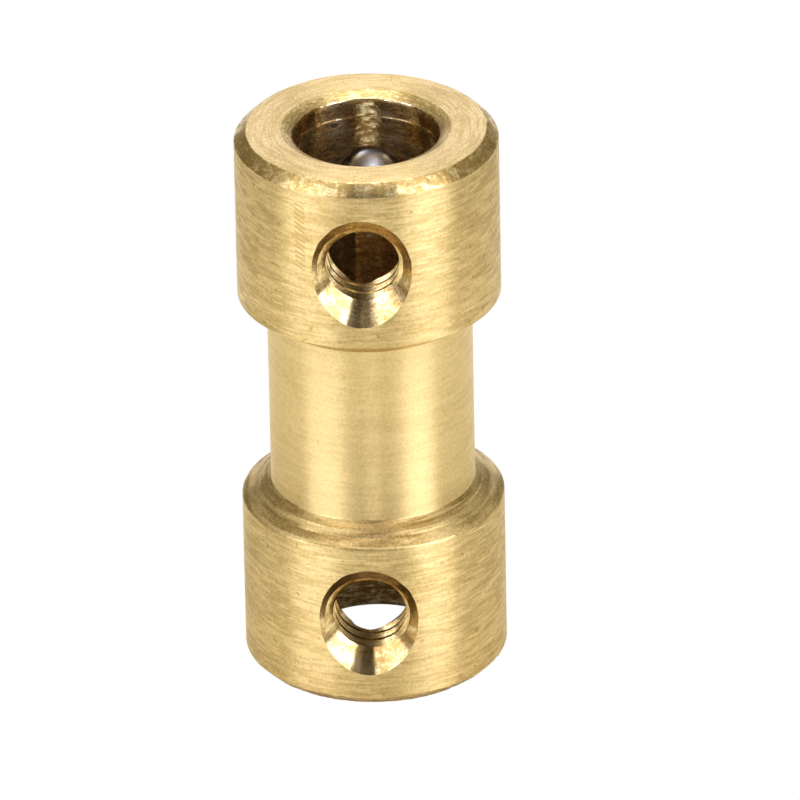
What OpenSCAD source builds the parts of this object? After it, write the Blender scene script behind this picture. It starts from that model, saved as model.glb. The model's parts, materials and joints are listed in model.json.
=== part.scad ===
// Rigid sleeve coupling: a one-piece turned brass sleeve that joins two shafts end to end, with a pair of
// cross-tapped holes through each collar and one oval-point set screw per shaft.
// Millimetres. The origin is on the bore's axis at mid-length, +Z runs up the bore, and the set screws stand
// in the +Y side.

/* [Sleeve] */
// Overall length of the sleeve
sleeve_len = 20; // [19:0.5:30]
// Outer diameter of the two clamping collars
collar_d = 9; // [8.5:0.25:12]
// Length of each collar at its full diameter, with the end chamfer
collar_len = 6.1; // [5.5:0.1:7]
// Diameter of the waist between the collars
waist_d = 7; // [6:0.25:8]
// Axial length of the sloping shoulder between a collar and the waist
shoulder_len = 0.65; // [0.1:0.05:1.5]
// Chamfer on the outer edge of each end
end_chamfer = 0.4; // [0.1:0.05:0.8]

/* [Shaft bore] */
// Diameter of the shaft bore
bore_d = 5; // [3:0.5:5.5]
// Radial width of the chamfer at each mouth of the shaft bore
bore_chamfer = 0.4; // [0.1:0.05:0.6]
// Depth of that chamfer along the bore
bore_chamfer_depth = 0.2; // [0.1:0.02:0.6]

/* [Tapped holes] */
// Distance from each end of the sleeve to the axis of its tapped holes
hole_from_end = 3.3; // [3:0.1:3.6]
// Core diameter of the tapped holes
tap_d = 2.5; // [2:0.05:3]
// Diameter of the 90 degree countersink, where it meets the crown of the collar
countersink_d = 4.05; // [3.4:0.05:4.3]

/* [Set screws] */
// Length of a set screw, from its point to the socket end
screw_len = 3; // [2.5:0.5:5]
// Radial gap between a set screw's plain body and the core of its tapped hole
screw_gap = 0.03; // [0.02:0.01:0.1]
// Across-flats size of the hexagon socket
socket_af = 1.5; // [1.2:0.1:1.6]
// Depth of the hexagon socket
socket_depth = 1.2; // [0.8:0.1:1.4]
// Outer diameter of the oval point
point_d = 2; // [1.2:0.1:2.2]
// How far the middle of the point stands out past its rim
point_rise = 0.2; // [0.1:0.05:0.4]

/* [Hidden] */
brass = [0.83, 0.68, 0.35];
steel = [0.72, 0.73, 0.75];
round_fn = 96;
small_fn = 48;
half_len = sleeve_len / 2;
collar_r = collar_d / 2;
waist_r = waist_d / 2;
bore_r = bore_d / 2;
tap_r = tap_d / 2;
// Height of a collar's inner edge, and of the waist's end
collar_edge_z = half_len - collar_len;
waist_end_z = collar_edge_z - shoulder_len;
// Height of the tapped holes above and below mid-length
hole_z = half_len - hole_from_end;
// How far the countersink's cone reaches into the wall, and how far its cutter stands out past it
countersink_depth = (countersink_d - tap_d) / 2;
cutter_over = 0.5;
screw_r = tap_r - screw_gap;
screw_end_chamfer = 0.2;
point_r = point_d / 2;
socket_r = socket_af / 2 / cos(30);
// The socket ends in a 120 degree drill point
socket_point = socket_af / 2 * tan(30);
// Outer half of the sleeve's outline above mid-length, as [radius, height]
upper_outline = [
    [waist_r, waist_end_z],
    [collar_r, collar_edge_z],
    [collar_r, half_len - end_chamfer],
    [collar_r - end_chamfer, half_len],
    [bore_r + bore_chamfer, half_len],
    [bore_r, half_len - bore_chamfer_depth],
];
lower_outline = [for (i = [len(upper_outline) - 1 : -1 : 0]) [upper_outline[i][0], -upper_outline[i][1]]];

// Turned body with its through bore
module turned_body() {
    rotate_extrude($fn = round_fn) polygon(concat(upper_outline, lower_outline));
}

// Cutter for one tapped hole through both walls, countersunk on both sides
module tapped_cross_hole() {
    rotate([90, 0, 0]) {
        cylinder(r = tap_r, h = collar_d + 2 * cutter_over, center = true, $fn = small_fn);
        for (side = [0, 1]) mirror([0, 0, side]) translate([0, 0, collar_r - countersink_depth])
            cylinder(r1 = tap_r, r2 = countersink_d / 2 + cutter_over,
                     h = countersink_depth + cutter_over, $fn = small_fn);
    }
}

module sleeve() {
    color(brass) difference() {
        turned_body();
        for (z = [-hole_z, hole_z]) translate([0, 0, z]) tapped_cross_hole();
    }
}

// One set screw on its own axis: point down at the origin, socket up
module set_screw() {
    difference() {
        rotate_extrude($fn = small_fn) polygon([
            [0, 0],
            [point_r / 2, point_rise / 4],
            [point_r, point_rise],
            [screw_r, point_rise + screw_r - point_r],
            [screw_r, screw_len - screw_end_chamfer],
            [screw_r - screw_end_chamfer, screw_len],
            [0, screw_len],
        ]);
        translate([0, 0, screw_len - socket_depth]) cylinder(r = socket_r, h = socket_depth + 1, $fn = 6);
        translate([0, 0, screw_len - socket_depth - socket_point])
            cylinder(r1 = 0, r2 = socket_af / 2, h = socket_point, $fn = small_fn);
    }
}

// A set screw in the back wall of a collar, its point flush with the shaft bore
module fitted_set_screw(z) {
    color(steel) translate([0, bore_r, z]) rotate([-90, 0, 0]) set_screw();
}

module upper_set_screw() { fitted_set_screw(hole_z); }

module lower_set_screw() { fitted_set_screw(-hole_z); }

sleeve();
upper_set_screw();
lower_set_screw();
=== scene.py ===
"""Rigid sleeve coupling: a turned brass sleeve with cross-tapped collars and its set screws.

Sizes of the pieces are in millimetres until a finished piece is scaled to metres, and the studio's are in
metres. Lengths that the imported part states, such as the bore, the tapped holes and the outer box, are read
from it.
"""
import json
import logging
import math
import random
from collections.abc import Iterable
from dataclasses import dataclass, field
from enum import Enum
from typing import NamedTuple

import bmesh
import bpy
from mathutils import Matrix, Vector, noise


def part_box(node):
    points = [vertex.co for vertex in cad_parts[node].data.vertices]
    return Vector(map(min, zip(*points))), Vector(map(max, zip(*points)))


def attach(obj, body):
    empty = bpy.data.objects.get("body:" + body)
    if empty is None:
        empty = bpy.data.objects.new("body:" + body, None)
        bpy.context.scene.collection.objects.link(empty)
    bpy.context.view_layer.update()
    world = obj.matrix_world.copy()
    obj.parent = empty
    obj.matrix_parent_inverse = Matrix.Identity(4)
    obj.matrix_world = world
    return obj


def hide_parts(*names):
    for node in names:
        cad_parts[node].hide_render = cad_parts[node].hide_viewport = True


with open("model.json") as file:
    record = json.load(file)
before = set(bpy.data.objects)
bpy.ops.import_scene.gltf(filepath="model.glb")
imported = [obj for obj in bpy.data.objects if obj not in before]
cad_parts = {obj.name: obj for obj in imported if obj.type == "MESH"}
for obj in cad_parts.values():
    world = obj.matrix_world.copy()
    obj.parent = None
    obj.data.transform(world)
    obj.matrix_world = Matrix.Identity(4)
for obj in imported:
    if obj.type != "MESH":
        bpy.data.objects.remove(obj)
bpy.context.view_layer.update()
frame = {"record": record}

LOG = logging.getLogger("coupling")
MM = 0.001
FULL_TURN = 2 * math.pi
# A corner of an outline sharper than this is rounded when it is turned.
SHARP_CORNER = math.radians(25)
# A finished piece is shaded smooth across every edge flatter than this.
SMOOTH_UP_TO = math.radians(32)
# Points closer than these are one point: after a spin, between turns of a thread, and after the cuts.
SPIN_WELD = 1e-5
THREAD_WELD = 1e-4
CUT_WELD = 2e-4
# A point this close to a plane lies on it.
ON_PLANE = 1e-6
# How far a tool ridge may stray from even spacing, in spacings.
RIDGE_DRIFT = 0.3

Colour = tuple[float, float, float, float]
WHITE: Colour = (1.0, 1.0, 1.0, 1.0)
Socket = bpy.types.NodeSocket
# An amount is a plain number or the output of another node.
Amount = Socket | float


# ---------------------------------------------------------------- frame readings

def mount(name: str) -> dict:
    """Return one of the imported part's mounts.

    Args:
        name: The mount's name.

    Returns:
        The mount's record, with its place in metres and its radii in millimetres.
    """
    return next(m for m in frame["record"]["mounts"] if m["name"] == name)


TAPPED_HOLE = mount("upper_front_tapped_hole")
HOLE_HEIGHT = TAPPED_HOLE["pos_m"][2] / MM


# ---------------------------------------------------------------- mesh helpers

def new_object(bm: bmesh.types.BMesh, name: str,
               materials: Iterable[bpy.types.Material] = ()) -> bpy.types.Object:
    """Turn a bmesh into a linked object and free the bmesh.

    Args:
        bm: The finished bmesh.
        name: The object's name.
        materials: Its material slots, in order.

    Returns:
        The new object, at the origin.
    """
    mesh = bpy.data.meshes.new(name)
    bm.to_mesh(mesh)
    bm.free()
    for material in materials:
        mesh.materials.append(material)
    obj = bpy.data.objects.new(name, mesh)
    bpy.context.scene.collection.objects.link(obj)
    return obj


def lathe(outline: Iterable[Vector | tuple[float, float]], steps: int,
          edge_round: float = 0.0) -> bmesh.types.BMesh:
    """Turn a closed outline about Z.

    Args:
        outline: Corners as (radius, height).
        steps: Facets round the axis.
        edge_round: Size of the small round put on every sharp corner.

    Returns:
        A closed, outward-facing bmesh.
    """
    bm = bmesh.new()
    verts = [bm.verts.new((r, 0.0, z)) for r, z in outline]
    for pair in zip(verts, verts[1:] + verts[:1]):
        bm.edges.new(pair)
    if edge_round:
        sharp = [vert for vert in verts if vert.calc_edge_angle(0.0) > SHARP_CORNER]
        bmesh.ops.bevel(bm, geom=sharp, offset=edge_round, offset_type="OFFSET", segments=2, profile=0.5,
                        affect="VERTICES", material=-1)
    bmesh.ops.spin(bm, geom=bm.verts[:] + bm.edges[:], cent=(0, 0, 0), axis=(0, 0, 1), angle=FULL_TURN,
                   steps=steps, use_merge=True)
    bmesh.ops.remove_doubles(bm, verts=bm.verts, dist=SPIN_WELD)
    bmesh.ops.recalc_face_normals(bm, faces=bm.faces)
    return bm


def ridges(start: Vector, end: Vector, count: int, depth: float, rng: random.Random) -> list[Vector]:
    """Return the points of an uneven row of tool ridges on a straight run of an outline.

    Args:
        start: Where the run starts.
        end: Where it ends.
        count: How many points to put between them.
        depth: Greatest distance of a point from the run.
        rng: Source of the unevenness.

    Returns:
        The points from start to end, with both ends left out.
    """
    run = end - start
    normal = Vector((-run.y, run.x)).normalized()
    points = []
    for i in range(1, count + 1):
        along = (i + rng.uniform(-RIDGE_DRIFT, RIDGE_DRIFT)) / (count + 1)
        points.append(start + run * along + normal * depth * (-1) ** i * rng.random())
    return points


class Cut(Enum):
    """What a tool does to the piece it is put through."""

    AWAY = "DIFFERENCE"
    KEEP_INSIDE = "INTERSECT"


def cut(target: bpy.types.Object, tool: bpy.types.Object, kind: Cut = Cut.AWAY) -> None:
    """Apply one boolean to a mesh object and delete the tool.

    Args:
        target: The piece that is cut.
        tool: The solid that it is cut with.
        kind: Whether the tool's inside is taken away or kept.
    """
    modifier = target.modifiers.new("cut", "BOOLEAN")
    modifier.operation = kind.value
    modifier.solver = "EXACT"
    modifier.object = tool
    apply_modifiers(target)
    bpy.data.objects.remove(tool)


def apply_modifiers(obj: bpy.types.Object) -> None:
    """Replace an object's mesh by its evaluated one and clear its modifiers.

    Args:
        obj: The object, which keeps its name and its materials.
    """
    depsgraph = bpy.context.evaluated_depsgraph_get()
    mesh = bpy.data.meshes.new_from_object(obj.evaluated_get(depsgraph), depsgraph=depsgraph)
    obj.modifiers.clear()
    old, obj.data = obj.data, mesh
    bpy.data.meshes.remove(old)
    mesh.name = obj.name


def finish_shading(obj: bpy.types.Object) -> None:
    """Scale a piece from millimetres to metres and smooth its flatter edges, led by its large faces.

    Args:
        obj: The finished piece, at the origin.
    """
    bm = bmesh.new()
    bm.from_mesh(obj.data)
    bmesh.ops.remove_doubles(bm, verts=bm.verts, dist=CUT_WELD)
    bmesh.ops.dissolve_degenerate(bm, edges=bm.edges, dist=CUT_WELD / 2)
    bmesh.ops.scale(bm, vec=(MM, MM, MM), verts=bm.verts)
    for face in bm.faces:
        face.smooth = True
    for edge in bm.edges:
        edge.smooth = edge.is_manifold and edge.calc_face_angle(0.0) < SMOOTH_UP_TO
    bm.to_mesh(obj.data)
    bm.free()
    weighted = obj.modifiers.new("weighted", "WEIGHTED_NORMAL")
    weighted.mode = "FACE_AREA"
    weighted.keep_sharp = True
    apply_modifiers(obj)


# ---------------------------------------------------------------- node helpers

class Graph:
    """A thin wrapper that builds a shader node tree."""

    def __init__(self, tree: bpy.types.NodeTree) -> None:
        """Start from an empty tree."""
        self.tree = tree
        tree.nodes.clear()

    def add(self, kind: str, inputs: dict | None = None, **settings: str | bool) -> bpy.types.Node:
        """Add a node.

        Args:
            kind: The node's type, such as ShaderNodeMath.
            inputs: Socket name or index to a value or to the socket that feeds it.
            **settings: Properties of the node.

        Returns:
            The new node.
        """
        node = self.tree.nodes.new(kind)
        for key, value in settings.items():
            setattr(node, key, value)
        for key, value in (inputs or {}).items():
            if isinstance(value, Socket):
                self.tree.links.new(value, node.inputs[key])
            else:
                node.inputs[key].default_value = value
        return node

    def math(self, operation: str, a: Amount, b: Amount = 0.0, clamp: bool = False) -> Socket:
        """Return the output of a Math node."""
        return self.add("ShaderNodeMath", {0: a, 1: b}, operation=operation, use_clamp=clamp).outputs[0]

    def multiply_add(self, a: Amount, factor: Amount, b: Amount) -> Socket:
        """Return a * factor + b."""
        return self.add("ShaderNodeMath", {0: a, 1: factor, 2: b}, operation="MULTIPLY_ADD").outputs[0]

    def noise(self, vector: Socket, scale: float, detail: float, roughness: float = 0.5) -> Socket:
        """Return the 0 to 1 output of a Noise Texture."""
        inputs = {"Vector": vector, "Scale": scale, "Detail": detail, "Roughness": roughness}
        return self.add("ShaderNodeTexNoise", inputs).outputs["Fac"]

    def ramp(self, value: Socket, low: float, high: float, to_low: float = 0.0,
             to_high: float = 1.0) -> Socket:
        """Return value mapped smoothly from one range to another, and held at its ends."""
        inputs = {"Value": value, "From Min": low, "From Max": high, "To Min": to_low, "To Max": to_high}
        return self.add("ShaderNodeMapRange", inputs, interpolation_type="SMOOTHSTEP").outputs["Result"]

    def mix(self, factor: Socket, a: Socket | Colour, b: Socket | Colour) -> Socket:
        """Add a mix of two colours.

        Args:
            factor: How much of the second colour is in the mix, from 0 to 1.
            a: The first colour.
            b: The second colour.

        Returns:
            The socket that holds the mix.
        """
        factor_in, a_in, b_in, colour_out = 0, 6, 7, 2
        mixer = self.add("ShaderNodeMix", {factor_in: factor, a_in: a, b_in: b}, data_type="RGBA")
        return mixer.outputs[colour_out]


# ---------------------------------------------------------------- finishes

class Axis(Enum):
    """The axis that a surface was turned, bored or tapped about."""

    SLEEVE = "sleeve"
    HOLE = "hole"


class Band(NamedTuple):
    """The stretch of a noise over which a mark comes up from nothing to full strength."""

    start: float
    full: float


MARKS = Band(0.34, 0.66)
SCRATCHES = Band(0.66, 0.74)
SPECKS = Band(0.38, 0.66)
STAINS = Band(0.48, 0.72)
PITS = Band(0.71, 0.76)
STROKES = Band(0.0, 0.9)
SPECKS_PER_MM = 11.0
STAINS_PER_MM = 0.9
PITS_PER_MM = 3.1


class MarkLayer(NamedTuple):
    """One layer of tool marks, against the finish's own run and spacing."""

    run: float
    closeness: float
    detail: float
    roughness: float


FINE = MarkLayer(run=1.0, closeness=1.0, detail=2.0, roughness=0.6)
BROAD = MarkLayer(run=2.5, closeness=0.28, detail=2.0, roughness=0.5)
HAIR = MarkLayer(run=1.8, closeness=1.5, detail=1.0, roughness=0.5)
BROAD_SHARE = 0.6
SPECK_RELIEF = 0.25
SCRATCH_POLISH = 0.4
# How much faster than along the axis the marks change across it, so that faces and cones have rings too.
RADIAL_CLOSENESS = 1.7
# A quarter turn of the anisotropy, which spreads light across the tool marks.
ACROSS_MARKS = 0.25


@dataclass(frozen=True)
class Chatter:
    """A short column of slanting strokes that a shaking tool left one above the other.

    The bearing is in radians round the axis of turning. Shade and depth are what a stroke adds to the shade
    of the finish's marks and takes from their height.
    """

    bearing: float
    low_mm: float
    high_mm: float
    pitch_mm: float = 0.18
    half_width_mm: float = 0.22
    slant: float = 0.45
    fade_mm: float = 0.06
    shade: float = 0.9
    depth: float = 1.6

    def strokes(self, g: Graph, u: Socket, v: Socket, height: Socket) -> Socket:
        """Return 1 in the middle of each stroke and 0 away from them.

        Args:
            g: The finish's node tree.
            u: First coordinate in the plane of turning, in millimetres.
            v: Second coordinate in that plane.
            height: Coordinate along the axis of turning.

        Returns:
            The socket that holds the strength of the strokes.
        """
        radius = g.math("SQRT", g.multiply_add(u, u, g.math("MULTIPLY", v, v)))
        turn = g.math("SUBTRACT", g.math("ARCTAN2", v, u), self.bearing)
        aside = g.math("MULTIPLY", turn, radius)
        phase = g.math("MULTIPLY", g.multiply_add(aside, self.slant, height), math.tau / self.pitch_mm)
        wave = g.ramp(g.math("SINE", phase), *STROKES)
        near = self.half_width_mm - self.fade_mm
        width = g.ramp(g.math("ABSOLUTE", aside), near, self.half_width_mm, 1.0, 0.0)
        above = g.ramp(height, self.low_mm, self.low_mm + self.fade_mm)
        below = g.ramp(height, self.high_mm - self.fade_mm, self.high_mm, 1.0, 0.0)
        return g.math("MULTIPLY", wave, g.math("MULTIPLY", width, g.math("MULTIPLY", above, below)))


@dataclass(frozen=True)
class MachinedFinish:
    """Bare metal with tool marks that run round an axis, and the handling wear over them.

    The colours are those of clean metal and of the shade in its marks; on the shoulders both are darkened as
    painted shade, and in the bore the clean colour is paled as painted light. Contrast, speckle, staining,
    scratches and pits are the strengths of the five layers of wear, and the mark's height is in millimetres.
    """

    name: str
    clean: Colour
    shaded: Colour
    roughness: float
    anisotropy: float
    marks_per_mm: float
    mark_run_mm: float
    mark_height: float
    contrast: float
    roughness_swing: float = 0.1
    speckle: float = 0.25
    staining: float = 0.2
    scratches: float = 0.0
    pits: float = 0.0
    axis: Axis = Axis.SLEEVE
    chatter: Chatter | None = None

    def material(self) -> bpy.types.Material:
        """Build the finish as a node material.

        Returns:
            A material that reads Object coordinates only.
        """
        material = bpy.data.materials.new(self.name)
        material.use_nodes = True
        g = Graph(material.node_tree)
        coords = g.add("ShaderNodeTexCoord").outputs["Object"]
        mm = g.add("ShaderNodeVectorMath", {0: coords, 3: 1 / MM}, operation="SCALE").outputs[0]
        u, v, across = self._turned(g, mm)
        flat = g.add("ShaderNodeCombineXYZ", {0: u, 1: v}).outputs[0]
        radius = g.add("ShaderNodeVectorMath", {0: flat}, operation="LENGTH").outputs["Value"]
        along = g.multiply_add(radius, RADIAL_CLOSENESS, across)

        fine, broad, hair = (self._layer(g, layer, u, v, along) for layer in (FINE, BROAD, HAIR))
        marks = g.multiply_add(g.math("SUBTRACT", broad, 0.5), BROAD_SHARE, fine)
        speck = g.noise(mm, SPECKS_PER_MM, detail=2.0, roughness=0.6)
        patches = g.noise(mm, STAINS_PER_MM, detail=4.0, roughness=0.6)
        dents = g.noise(mm, PITS_PER_MM, detail=1.0)

        tint = g.math("MULTIPLY", g.ramp(marks, *MARKS), self.contrast)
        tint = g.multiply_add(g.ramp(speck, *SPECKS), self.speckle, tint)
        tint = g.multiply_add(g.ramp(patches, *STAINS), self.staining, tint)
        tint = g.multiply_add(g.ramp(dents, *PITS), self.pits, tint)
        height = g.multiply_add(speck, SPECK_RELIEF * self.speckle, marks)
        if self.chatter:
            strokes = self.chatter.strokes(g, u, v, across)
            tint = g.multiply_add(strokes, self.chatter.shade, tint)
            height = g.multiply_add(strokes, -self.chatter.depth, height)
        line = g.math("MULTIPLY", g.ramp(hair, *SCRATCHES), self.scratches)
        colour = g.mix(g.math("SUBTRACT", tint, line, clamp=True), self.clean, self.shaded)

        swing = g.multiply_add(g.math("SUBTRACT", fine, 0.5), self.roughness_swing * 2, self.roughness)
        rough = g.multiply_add(line, -SCRATCH_POLISH * self.roughness, swing)
        bump = g.add("ShaderNodeBump", {"Height": height, "Distance": self.mark_height * MM, "Strength": 1.0})
        shader = g.add("ShaderNodeBsdfPrincipled", {
            "Base Color": colour, "Metallic": 1.0, "Roughness": rough, "Normal": bump.outputs[0],
            "Anisotropic": self.anisotropy, "Anisotropic Rotation": ACROSS_MARKS,
            "Tangent": self._round_way(g, u, v),
        })
        g.add("ShaderNodeOutputMaterial", {0: shader.outputs[0]})
        return material

    def _turned(self, g: Graph, mm: Socket) -> tuple[Socket, Socket, Socket]:
        """Sort the coordinates of a place by the axis that it was turned about.

        Args:
            g: The finish's node tree.
            mm: The place, in millimetres.

        Returns:
            The two coordinates in the plane of turning and the one along its axis.
        """
        x, y, z = g.add("ShaderNodeSeparateXYZ", {0: mm}).outputs
        if self.axis is Axis.HOLE:
            return x, g.math("SUBTRACT", g.math("ABSOLUTE", z), HOLE_HEIGHT), y
        return x, y, z

    def _layer(self, g: Graph, layer: MarkLayer, u: Socket, v: Socket, along: Socket) -> Socket:
        """Draw a noise out round the axis into one layer of the tool marks.

        Args:
            g: The finish's node tree.
            layer: How the layer's marks compare with the finish's own.
            u: First coordinate in the plane of turning, in millimetres.
            v: Second coordinate in that plane.
            along: How far along the axis and out from it the place is.

        Returns:
            The socket that holds the noise, from 0 to 1.
        """
        run = self.mark_run_mm * layer.run
        per_mm = self.marks_per_mm * layer.closeness
        rings = g.math("MULTIPLY", along, per_mm)
        parts = {0: g.math("DIVIDE", u, run), 1: g.math("DIVIDE", v, run), 2: rings}
        stretched = g.add("ShaderNodeCombineXYZ", parts).outputs[0]
        return g.noise(stretched, scale=1.0, detail=layer.detail, roughness=layer.roughness)

    def _round_way(self, g: Graph, u: Socket, v: Socket) -> Socket:
        """Find the direction round the axis.

        Args:
            g: The finish's node tree.
            u: First coordinate in the plane of turning, in millimetres.
            v: Second coordinate in that plane.

        Returns:
            The socket that holds the direction, as a unit vector.
        """
        back = g.math("MULTIPLY", v, -1.0)
        parts = {0: back, 1: 0.0, 2: u} if self.axis is Axis.HOLE else {0: back, 1: u, 2: 0.0}
        way = g.add("ShaderNodeCombineXYZ", parts).outputs[0]
        return g.add("ShaderNodeVectorMath", {0: way}, operation="NORMALIZE").outputs[0]


BRASS: Colour = (0.96, 0.745, 0.345, 1.0)
BRASS_SHADED: Colour = (0.69, 0.485, 0.175, 1.0)
COLLAR_BRASS: Colour = (0.95, 0.73, 0.33, 1.0)
COLLAR_SHADED: Colour = (0.63, 0.43, 0.145, 1.0)
CHAMFER_SHADED: Colour = (0.52, 0.35, 0.11, 1.0)
# Painted shade: the shoulders' brass and the shade of their marks are darker than the sleeve's other brass,
# for the shade under the collars.
SHOULDER_BRASS_PAINTED_SHADE: Colour = (0.88, 0.66, 0.28, 1.0)
SHOULDER_SHADED: Colour = (0.36, 0.24, 0.07, 1.0)
# Painted light and shade: the bore's clean brass is paler than the sleeve's other brass, as painted light
# down the deep bore, and its dark marks are painted shade over real drill marks.
BORE_BRASS_PAINTED_LIGHT: Colour = (1.0, 0.88, 0.54, 1.0)
BORE_SHADED: Colour = (0.42, 0.25, 0.08, 1.0)
TAP_BRASS: Colour = (0.97, 0.77, 0.38, 1.0)
TAP_SHADED: Colour = (0.48, 0.30, 0.09, 1.0)
STEEL: Colour = (0.86, 0.86, 0.87, 1.0)
STEEL_SHADED: Colour = (0.68, 0.68, 0.68, 1.0)

COLLAR_FINISH = MachinedFinish(
    "collar_turned", COLLAR_BRASS, COLLAR_SHADED, roughness=0.46, anisotropy=0.95,
    marks_per_mm=9.0, mark_run_mm=0.9, mark_height=0.0016, contrast=0.52,
    speckle=0.34, staining=0.14, scratches=0.8, pits=0.8,
    chatter=Chatter(bearing=math.radians(-117.6), low_mm=6.6, high_mm=9.2))
WAIST_FINISH = MachinedFinish(
    "waist_turned", BRASS, BRASS_SHADED, roughness=0.42, anisotropy=0.95,
    marks_per_mm=7.0, mark_run_mm=1.6, mark_height=0.0006, contrast=0.22,
    roughness_swing=0.04, speckle=0.32, staining=0.12, pits=0.25)
FACE_FINISH = MachinedFinish(
    "faced_end", BRASS, BRASS_SHADED, roughness=0.34, anisotropy=0.9,
    marks_per_mm=7.0, mark_run_mm=0.8, mark_height=0.0015, contrast=0.6,
    speckle=0.6, staining=0.35, pits=0.9)
CHAMFER_FINISH = MachinedFinish(
    "chamfer_turned", BRASS, CHAMFER_SHADED, roughness=0.33, anisotropy=0.6,
    marks_per_mm=10.0, mark_run_mm=0.3, mark_height=0.009, contrast=1.0,
    roughness_swing=0.15, speckle=0.6, staining=0.3, scratches=0.8, pits=0.8)
# Painted shade: darkened brass for the shade under the collars.
SHOULDER_FINISH_PAINTED_SHADE = MachinedFinish(
    "shoulder_turned_painted_shade", SHOULDER_BRASS_PAINTED_SHADE, SHOULDER_SHADED, roughness=0.4, anisotropy=0.5,
    marks_per_mm=4.0, mark_run_mm=2.2, mark_height=0.006, contrast=0.75,
    speckle=0.35, staining=0.3, scratches=1.0)
# Painted light and shade: pale brass for light down the bore, and dark drill marks for its shade.
BORE_FINISH_PAINTED_LIGHT_AND_SHADE = MachinedFinish(
    "drilled_bore_painted_light_and_shade", BORE_BRASS_PAINTED_LIGHT, BORE_SHADED, roughness=0.25, anisotropy=0.88,
    marks_per_mm=7.0, mark_run_mm=0.35, mark_height=0.009, contrast=1.1,
    roughness_swing=0.25, speckle=0.3, staining=0.2, scratches=1.4)
TAP_FINISH = MachinedFinish(
    "tapped_hole", TAP_BRASS, TAP_SHADED, roughness=0.22, anisotropy=0.3,
    marks_per_mm=6.0, mark_run_mm=0.5, mark_height=0.003, contrast=0.65,
    speckle=0.45, staining=0.4, scratches=0.8, axis=Axis.HOLE)
SCREW_FINISH = MachinedFinish(
    "bright_screw_steel", STEEL, STEEL_SHADED, roughness=0.3, anisotropy=0.2,
    marks_per_mm=8.0, mark_run_mm=0.9, mark_height=0.0006, contrast=0.4, axis=Axis.HOLE)


# ---------------------------------------------------------------- thread

@dataclass(frozen=True)
class Thread:
    """One metric thread form, as a solid that a hole is cut with or a screw is made of."""

    core_radius: float
    crest_radius: float
    pitch: float = 0.5
    crest_width: float = 0.0625
    flank_angle: float = math.radians(30)
    steps: int = 96

    def profile(self) -> list[tuple[float, float]]:
        """Lay out one pitch of the form.

        Returns:
            Its corners as (radius, height), with the crest in the middle.
        """
        middle = self.pitch / 2
        top = self.crest_width / 2
        foot = top + (self.crest_radius - self.core_radius) * math.tan(self.flank_angle)
        return [(self.core_radius, 0.0), (self.core_radius, middle - foot), (self.crest_radius, middle - top),
                (self.crest_radius, middle + top), (self.core_radius, middle + foot),
                (self.core_radius, self.pitch)]

    def solid(self, low: float, high: float) -> bmesh.types.BMesh:
        """Build the threaded rod between two heights on Z, right-handed and flat at both ends.

        Args:
            low: Height of the lower end.
            high: Height of the upper end.

        Returns:
            A closed bmesh whose crests stay in phase with any other rod of the same pitch.
        """
        first = math.floor(low / self.pitch) - 2
        turns = math.ceil(high / self.pitch) + 1 - first
        bm = bmesh.new()
        verts = [bm.verts.new((r, 0.0, z + first * self.pitch)) for r, z in self.profile()]
        edges = [bm.edges.new(pair) for pair in zip(verts, verts[1:])]
        bmesh.ops.spin(bm, geom=verts + edges, cent=(0, 0, 0), axis=(0, 0, 1), angle=FULL_TURN,
                       dvec=(0, 0, self.pitch / self.steps), steps=self.steps)
        one_turn = bm.verts[:] + bm.edges[:] + bm.faces[:]
        for turn in range(1, turns):
            copy = bmesh.ops.duplicate(bm, geom=one_turn)["geom"]
            bmesh.ops.translate(bm, vec=(0, 0, turn * self.pitch),
                                verts=[item for item in copy if isinstance(item, bmesh.types.BMVert)])
        bmesh.ops.remove_doubles(bm, verts=bm.verts, dist=THREAD_WELD)
        for height, way in ((low, -1), (high, 1)):
            bmesh.ops.bisect_plane(bm, geom=bm.verts[:] + bm.edges[:] + bm.faces[:], dist=ON_PLANE,
                                   plane_co=(0, 0, height), plane_no=(0, 0, way), clear_outer=True)
        bmesh.ops.edgeloop_fill(bm, edges=[e for e in bm.edges if e.is_boundary])
        bmesh.ops.recalc_face_normals(bm, faces=bm.faces)
        return bm


# ---------------------------------------------------------------- sleeve

class Zone(Enum):
    """Surfaces of the sleeve that were machined differently, and the finish of each, with painted shade on
    the shoulders and painted light and shade in the bore.
    """

    COLLAR = COLLAR_FINISH
    WAIST = WAIST_FINISH
    FACE = FACE_FINISH
    CHAMFER = CHAMFER_FINISH
    SHOULDER = SHOULDER_FINISH_PAINTED_SHADE
    BORE = BORE_FINISH_PAINTED_LIGHT_AND_SHADE
    TAPPED = TAP_FINISH

    @property
    def slot(self) -> int:
        """The zone's material index on the sleeve."""
        return list(Zone).index(self)


# A face points along a direction when its normal is at least this much along it.
SQUARE_ON = 0.95
# Height of each wave that makes an edge wander and burr, and how many there are to a millimetre.
EDGE_WAVES = ((0.8, 1.3), (0.5, 3.1), (0.4, 8.3))
NICK_DEPTH = 2.2
NICKS_PER_MM = 6.1
NICK_START = 0.3


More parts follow.
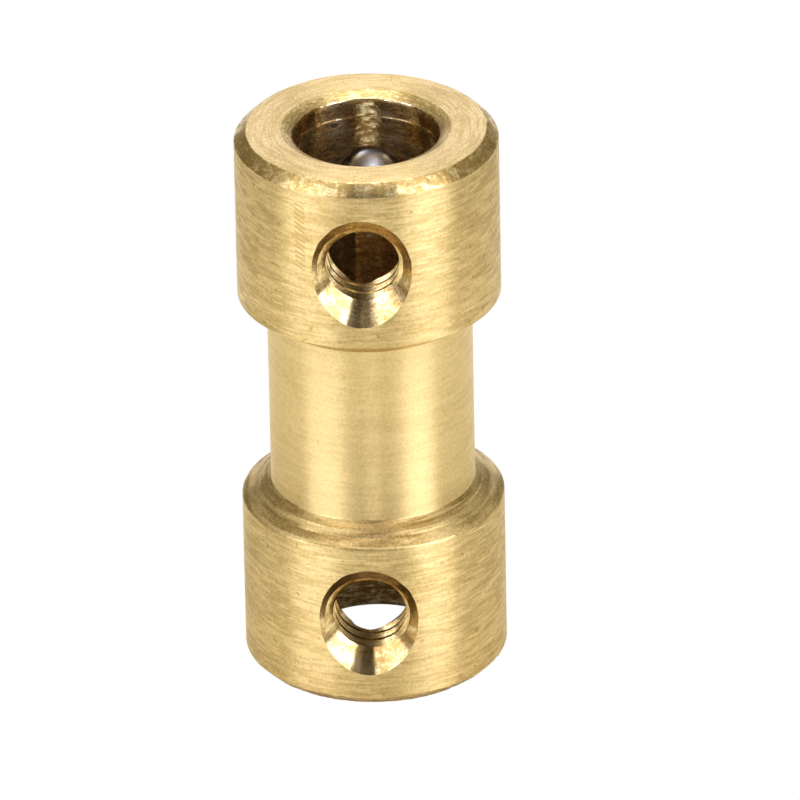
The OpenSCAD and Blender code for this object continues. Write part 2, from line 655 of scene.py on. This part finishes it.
@dataclass
class Sleeve:
    """The one-piece turned body: two collars, a waist, a through bore and two cross-tapped holes.

    A faint step lies a little below each mouth of the bore. Ridges are what the tools left, and wear is how
    far the edges stray from true.
    """

    half_length: float
    collar_radius: float
    bore_radius: float
    hole_height: float
    tap_radius: float
    collar_length: float = 6.1
    shoulder_length: float = 0.65
    waist_radius: float = 3.5
    end_chamfer: float = 0.4
    bore_chamfer: float = 0.4
    bore_chamfer_depth: float = 0.2
    step_radius: float = 0.01
    step_below: float = 0.85
    ridged_depth: float = 2.4
    bore_ridge: float = 0.012
    bore_ridges: tuple[int, int] = (3, 9)
    shoulder_ridge: float = 0.02
    shoulder_ridges: int = 9
    countersink_radius: float = 2.025
    countersink_wobble: float = 0.012
    wobble_per_mm: float = 2.3
    countersink_steps: int = 128
    tap_crest_radius: float = 1.52
    overcut: float = 0.5
    edge_round: float = 0.035
    steps: int = 480
    edge_reach: float = 1.5
    edge_wear: float = 0.035
    lip_wear: float = 0.6
    seed: int = 11
    name: str = "brass_sleeve"

    def outline(self) -> list[Vector]:
        """Lay out the turned outline.

        Returns:
            Its corners as (radius, height), up the outside of the upper half and down the bore, then on
            through the lower half, which mirrors it.
        """
        rng = random.Random(self.seed)
        collar_edge = self.half_length - self.collar_length
        foot = Vector((self.waist_radius, collar_edge - self.shoulder_length))
        lip = Vector((self.collar_radius, collar_edge))
        mouth = Vector((self.bore_radius + self.step_radius, self.half_length - self.bore_chamfer_depth))
        step = Vector((mouth.x, self.half_length - self.step_below))
        bore = Vector((self.bore_radius, step.y - self.step_radius))
        deep = Vector((self.bore_radius, self.half_length - self.ridged_depth))
        above_step, below_step = self.bore_ridges
        outer = [foot, *ridges(foot, lip, self.shoulder_ridges, self.shoulder_ridge, rng), lip,
                 Vector((self.collar_radius, self.half_length - self.end_chamfer)),
                 Vector((self.collar_radius - self.end_chamfer, self.half_length)),
                 Vector((self.bore_radius + self.bore_chamfer, self.half_length)),
                 mouth, *ridges(mouth, step, above_step, self.bore_ridge, rng), step,
                 bore, *ridges(bore, deep, below_step, self.bore_ridge, rng), deep]
        return outer + [Vector((r, -z)) for r, z in reversed(outer)]

    def zone_of(self, face: bmesh.types.BMFace) -> Zone:
        """Tell which zone a face of the turned blank belongs to, by its place and the way it points.

        Args:
            face: The face, before the edges are worn.

        Returns:
            Its zone.
        """
        centre = face.calc_center_median()
        radius = math.hypot(centre.x, centre.y)
        outward = (face.normal.x * centre.x + face.normal.y * centre.y) / radius
        height = abs(centre.z)
        collar_edge = self.half_length - self.collar_length
        if radius < self.bore_radius + self.step_radius + self.edge_round:
            return Zone.BORE
        if height > collar_edge:
            if outward > SQUARE_ON:
                return Zone.COLLAR
            return Zone.FACE if abs(face.normal.z) > SQUARE_ON else Zone.CHAMFER
        return Zone.WAIST if outward > SQUARE_ON else Zone.SHOULDER

    def wear_edges(self, bm: bmesh.types.BMesh) -> None:
        """Make the edges of the end chamfers and the shoulders uneven and nicked.

        Args:
            bm: The turned blank. Its points near an edge move within the face that the edge borders.
        """
        reach = self.edge_round * self.edge_reach
        chamfer_top = self.collar_radius - self.end_chamfer
        chamfer_foot = self.half_length - self.end_chamfer
        lip = self.half_length - self.collar_length
        for vert in bm.verts:
            radius, height = math.hypot(vert.co.x, vert.co.y), abs(vert.co.z)
            move = self.edge_wear * self.unevenness(vert.co)
            if abs(radius - chamfer_top) < reach and abs(height - self.half_length) < reach:
                vert.co.x *= 1 + move / radius
                vert.co.y *= 1 + move / radius
            elif abs(radius - self.collar_radius) < reach and abs(height - chamfer_foot) < reach:
                vert.co.z += math.copysign(move, vert.co.z)
            elif abs(radius - self.collar_radius) < reach and abs(height - lip) < reach:
                vert.co.z -= math.copysign(move * self.lip_wear, vert.co.z)

    @staticmethod
    def unevenness(place: Vector) -> float:
        """Return how far an edge strays at a place: a slow wander, a fine burr and a few deeper nicks."""
        waves = sum(height * noise.noise(place * per_mm) for height, per_mm in EDGE_WAVES)
        return waves - NICK_DEPTH * max(0.0, noise.noise(place * NICKS_PER_MM) - NICK_START)

    def blank(self) -> bmesh.types.BMesh:
        """Turn the outline, give each face its zone and wear the edges.

        Returns:
            A closed bmesh about Z, without its cross holes.
        """
        bm = lathe(self.outline(), self.steps, self.edge_round)
        for face in bm.faces:
            face.material_index = self.zone_of(face).slot
        self.wear_edges(bm)
        return bm

    def countersink(self, height: float, side: int) -> bmesh.types.BMesh:
        """Make the slightly uneven cone that opens one mouth of a cross hole.

        Args:
            height: The hole's height on the sleeve.
            side: 1 for the rear mouth and -1 for the front one.

        Returns:
            A closed bmesh about Z, with its apex towards the middle.
        """
        apex = self.collar_radius - self.countersink_radius
        depth = self.collar_radius + self.overcut - apex
        cone = bmesh.new()
        bmesh.ops.create_cone(cone, cap_ends=True, segments=self.countersink_steps, radius1=0.0,
                              radius2=depth, depth=depth)
        bmesh.ops.translate(cone, verts=cone.verts, vec=(0, 0, apex + depth / 2))
        for vert in cone.verts:
            place = vert.co * self.wobble_per_mm + Vector((0, 0, height * side))
            wobble = self.countersink_wobble * noise.noise(place)
            vert.co.x *= 1 + wobble
            vert.co.y *= 1 + wobble
        if side < 0:
            turn = Matrix.Rotation(math.pi, 3, "X")
            bmesh.ops.rotate(cone, verts=cone.verts, cent=(0, 0, 0), matrix=turn)
        return cone

    def cross_cutters(self, height: float) -> list[bmesh.types.BMesh]:
        """Make the tools for one cross hole: a tap that runs right through and two countersinks.

        Args:
            height: The hole's height on the sleeve.

        Returns:
            Closed bmeshes that lie along Y.
        """
        reach = self.collar_radius + self.overcut
        tap = Thread(self.tap_radius, self.tap_crest_radius).solid(-reach, reach)
        tools = [tap, *(self.countersink(height, side) for side in (-1, 1))]
        lay_back = Matrix.Rotation(-math.pi / 2, 3, "X")
        for tool in tools:
            bmesh.ops.rotate(tool, verts=tool.verts, cent=(0, 0, 0), matrix=lay_back)
            bmesh.ops.translate(tool, verts=tool.verts, vec=(0, 0, height))
            for face in tool.faces:
                face.material_index = Zone.TAPPED.slot
        return tools

    def build(self) -> bpy.types.Object:
        """Make the sleeve, ride it on its body and put it in place of its node.

        Returns:
            The finished piece, in metres.
        """
        materials = [zone.value.material() for zone in Zone]
        sleeve = new_object(self.blank(), self.name, materials)
        for height in (-self.hole_height, self.hole_height):
            for tool in self.cross_cutters(height):
                cut(sleeve, new_object(tool, "tool", materials))
        finish_shading(sleeve)
        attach(sleeve, "sleeve")
        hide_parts("sleeve")
        return sleeve


# ---------------------------------------------------------------- set screws

@dataclass
class SetScrew:
    """An oval-point set screw with a hexagon socket, in the back wall of one collar.

    Its height is that of its hole on the sleeve, and its tip and head are measured back from the sleeve's
    axis.
    """

    node: str
    height: float
    tip: float
    head: float
    core_radius: float = 1.19
    crest_radius: float = 1.47
    end_chamfer: float = 0.3
    point_radius: float = 1.0
    point_rise: float = 0.2
    point_rings: int = 6
    socket_across: float = 1.5
    socket_depth: float = 1.2
    drill_slope: float = math.radians(30)
    steps: int = 96
    clear: float = 0.05
    overcut: float = 0.1

    def envelope(self) -> bmesh.types.BMesh:
        """Turn the blank that the thread is trimmed to: chamfered at both ends, with a domed point.

        Returns:
            A closed bmesh about Z, with its point down.
        """
        outer = self.crest_radius + self.clear
        rim = self.tip + self.point_rise
        rings = [i / self.point_rings for i in range(self.point_rings + 1)]
        outline = [
            *((self.point_radius * ring, self.tip + self.point_rise * ring ** 2) for ring in rings),
            (outer, rim + outer - self.point_radius),
            (outer, self.head - self.end_chamfer),
            (outer - self.end_chamfer, self.head),
            (0.0, self.head),
        ]
        return lathe(outline, self.steps)

    def socket(self) -> bmesh.types.BMesh:
        """Make the hexagonal broach with its drilled point.

        Returns:
            A closed bmesh about Z, which stands a little out of the head.
        """
        bm = bmesh.new()
        corner = self.socket_across / 2 / math.cos(math.pi / 6)
        floor = self.head - self.socket_depth
        bmesh.ops.create_circle(bm, cap_ends=True, segments=6, radius=corner)
        bmesh.ops.translate(bm, verts=bm.verts, vec=(0, 0, floor))
        made = bmesh.ops.extrude_face_region(bm, geom=bm.faces[:])
        top = [item for item in made["geom"] if isinstance(item, bmesh.types.BMVert)]
        bmesh.ops.translate(bm, verts=top, vec=(0, 0, self.socket_depth + self.overcut))
        bottom = min(bm.faces, key=lambda face: face.calc_center_median().z)
        centre = bmesh.ops.poke(bm, faces=[bottom])["verts"][0]
        centre.co.z -= self.socket_across / 2 * math.tan(self.drill_slope)
        bmesh.ops.recalc_face_normals(bm, faces=bm.faces)
        return bm

    def build(self) -> bpy.types.Object:
        """Make the screw, ride it on its body and put it in place of its node.

        Returns:
            The finished piece, in metres.
        """
        material = SCREW_FINISH.material()
        name = f"{self.node}_m3"
        thread = Thread(self.core_radius, self.crest_radius)
        rod = thread.solid(self.tip - self.overcut, self.head + self.overcut)
        screw = new_object(rod, name, [material])
        cut(screw, new_object(self.envelope(), "tool", [material]), Cut.KEEP_INSIDE)
        cut(screw, new_object(self.socket(), "tool", [material]))
        lay_back = Matrix.Rotation(-math.pi / 2, 4, "X")
        screw.data.transform(Matrix.Translation((0, 0, self.height)) @ lay_back)
        finish_shading(screw)
        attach(screw, self.node)
        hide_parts(self.node)
        return screw


# ---------------------------------------------------------------- studio

def direction(azimuth: float, elevation: float) -> Vector:
    """Return the unit vector from the part to a place in the studio.

    Args:
        azimuth: Degrees round from the front, with 90 on the part's right.
        elevation: Degrees above level.

    Returns:
        The vector.
    """
    a, e = math.radians(azimuth), math.radians(elevation)
    return Vector((math.sin(a) * math.cos(e), -math.cos(a) * math.cos(e), math.sin(e)))


@dataclass(frozen=True)
class Softbox:
    """A rectangular light aimed at the part, placed by its bearing in degrees."""

    name: str
    azimuth: float
    elevation: float
    width: float
    height: float
    radiance: float
    distance: float = 0.3
    tint: tuple[float, float, float] = (0.98, 1.0, 1.25)

    def build(self) -> bpy.types.Object:
        """Add the light, aimed at the origin and unseen by the camera.

        Returns:
            The light's object.
        """
        light = bpy.data.lights.new(self.name, "AREA")
        light.shape = "RECTANGLE"
        light.size, light.size_y = self.width, self.height
        light.color = self.tint
        light.energy = self.radiance * math.pi * self.width * self.height
        lamp = bpy.data.objects.new(self.name, light)
        bpy.context.scene.collection.objects.link(lamp)
        back = direction(self.azimuth, self.elevation)
        lamp.location = back * self.distance
        lamp.rotation_mode = "QUATERNION"
        lamp.rotation_quaternion = back.to_track_quat("Z", "Y")
        lamp.visible_camera = False
        return lamp


@dataclass
class Studio:
    """A pale light table under softboxes, and the camera.

    The table and the surround are white to the camera and darker to the metal that they light. The camera's
    bearing is in degrees and its lens in millimetres. Its aim is in metres right of and below the part's
    middle.
    """

    floor_height: float
    floor_radius: float = 2.0
    floor_steps: int = 96
    table_shade: Colour = (0.94, 0.93, 0.78, 1.0)
    surround_low: Colour = (0.20, 0.17, 0.11, 1.0)
    surround_high: Colour = (0.55, 0.54, 0.50, 1.0)
    surround_rise: Band = Band(0.2, 0.8)
    opening: Colour = (0.05, 0.04, 0.025, 1.0)
    opening_elevation: float = 52.0
    opening_spread: float = math.radians(40)
    camera_azimuth: float = 3.2
    camera_elevation: float = 28.0
    camera_distance: float = 0.514
    lens: float = 676.7
    lean: float = math.radians(1.14)
    aim_right: float = 0.00097
    aim_down: float = 0.00042
    clip: tuple[float, float] = (0.01, 10.0)
    softboxes: list[Softbox] = field(default_factory=lambda: [
        Softbox("right_softbox", azimuth=57.0, elevation=33.0, width=0.175, height=0.27, radiance=3.5),
        Softbox("left_softbox", azimuth=-51.0, elevation=33.0, width=0.22, height=0.27, radiance=2.5),
        Softbox("top_softbox", azimuth=180.0, elevation=84.0, width=0.20, height=0.18, radiance=3.0),
        Softbox("rear_softbox", azimuth=183.0, elevation=26.0, width=0.24, height=0.26, radiance=0.85),
        Softbox("front_card", azimuth=3.0, elevation=6.0, width=0.08, height=0.06, radiance=2.4),
    ])

    def build(self) -> None:
        """Set up the floor, the surround, the lights and the camera."""
        self.floor()
        self.world()
        for softbox in self.softboxes:
            softbox.build()
        self.camera()
        bpy.context.scene.view_settings.view_transform = "Standard"

    def floor(self) -> None:
        """Make the light table's top."""
        bm = bmesh.new()
        bmesh.ops.create_circle(bm, cap_ends=True, segments=self.floor_steps, radius=self.floor_radius)
        bmesh.ops.translate(bm, verts=bm.verts, vec=(0, 0, self.floor_height))
        material = bpy.data.materials.new("light_table")
        material.use_nodes = True
        g = Graph(material.node_tree)
        seen = g.add("ShaderNodeLightPath").outputs["Is Camera Ray"]
        lit = g.add("ShaderNodeBsdfDiffuse", {"Color": self.table_shade})
        glow = g.add("ShaderNodeEmission", {"Color": WHITE, "Strength": 1.0})
        both = g.add("ShaderNodeMixShader", {0: seen, 1: lit.outputs[0], 2: glow.outputs[0]})
        g.add("ShaderNodeOutputMaterial", {0: both.outputs[0]})
        new_object(bm, "floor", [material])

    def world(self) -> None:
        """Set a grey surround with a dim opening above the camera; the camera itself sees white."""
        world = bpy.data.worlds.new("surround")
        bpy.context.scene.world = world
        world.use_nodes = True
        g = Graph(world.node_tree)
        seen = g.add("ShaderNodeLightPath").outputs["Is Camera Ray"]
        way = g.add("ShaderNodeTexCoord").outputs["Generated"]
        centre = direction(self.camera_azimuth, self.opening_elevation)
        near = g.add("ShaderNodeVectorMath", {0: way, 1: centre}, operation="DOT_PRODUCT").outputs["Value"]
        dim = g.ramp(near, math.cos(self.opening_spread), math.cos(self.opening_spread / 2))
        rise = g.ramp(g.add("ShaderNodeSeparateXYZ", {0: way}).outputs[2], *self.surround_rise)
        shade = g.mix(dim, g.mix(rise, self.surround_low, self.surround_high), self.opening)
        back = g.add("ShaderNodeBackground", {0: g.mix(seen, shade, WHITE)})
        g.add("ShaderNodeOutputWorld", {0: back.outputs[0]})

    def camera(self) -> None:
        """Set the camera to look down on the part from in front."""
        data = bpy.data.cameras.new("camera")
        data.lens = self.lens
        data.clip_start, data.clip_end = self.clip
        camera = bpy.data.objects.new("camera", data)
        bpy.context.scene.collection.objects.link(camera)
        back = direction(self.camera_azimuth, self.camera_elevation)
        turn = back.to_track_quat("Z", "Y").to_matrix()
        aim = turn @ Vector((self.aim_right, -self.aim_down, 0))
        camera.location = aim + back * self.camera_distance
        camera.rotation_euler = (turn @ Matrix.Rotation(-self.lean, 3, "Z")).to_euler()
        bpy.context.scene.camera = camera


# ---------------------------------------------------------------- assembly

def main() -> None:
    """Build the studio, the sleeve and the set screws."""
    logging.basicConfig(level=logging.INFO, format="%(name)s: %(message)s")
    low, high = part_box("sleeve")
    Studio(floor_height=low.z).build()
    sleeve = Sleeve(
        half_length=(high.z - low.z) / 2 / MM,
        collar_radius=(high.x - low.x) / 2 / MM,
        bore_radius=mount("upper_shaft_bore")["dims"]["r_mm"],
        hole_height=HOLE_HEIGHT,
        tap_radius=TAPPED_HOLE["dims"]["r_mm"],
    )
    pieces = [sleeve.build()]
    for node, way in (("upper_set_screw", 1), ("lower_set_screw", -1)):
        tip, head = (corner.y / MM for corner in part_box(node))
        pieces.append(SetScrew(node, way * sleeve.hole_height, tip, head).build())


if __name__ == "__main__":
    main()
